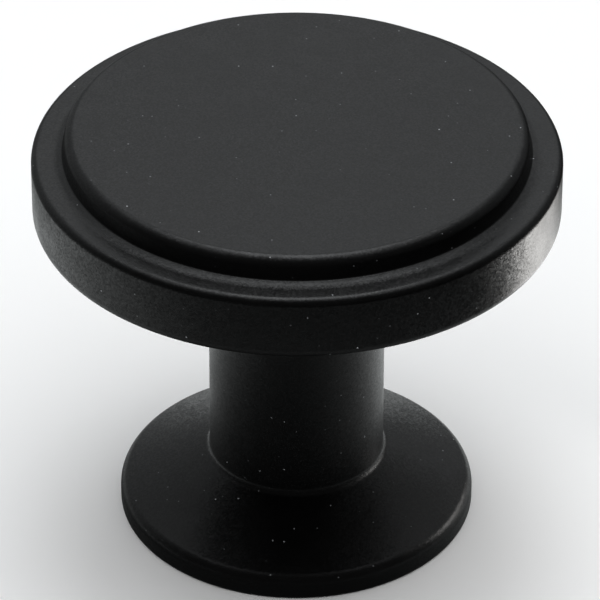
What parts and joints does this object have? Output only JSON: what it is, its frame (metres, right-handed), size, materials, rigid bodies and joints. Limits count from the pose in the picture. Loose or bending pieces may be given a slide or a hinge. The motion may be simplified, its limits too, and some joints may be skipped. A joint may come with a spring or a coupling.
{
  "type": "cabinet knob",
  "caption": "Round cabinet or drawer knob: a stepped disc head on a straight stem with a conical base flange and a blind screw hole in its back, finished in fine matt black coat.",
  "frame": {"origin": "centre of the base's flat back, where it lies on the drawer front", "axes": "+Z along the knob's axis, from the drawer front out to the knob's face; the knob is round, so X and Y are free"},
  "size_m": [0.032, 0.032, 0.027],
  "materials": {
    "black_coat": "matt powder coat with a fine grain"
  },
  "bodies": {
    "root": {"knob": "black_coat"}
  },
  "joints": []
}
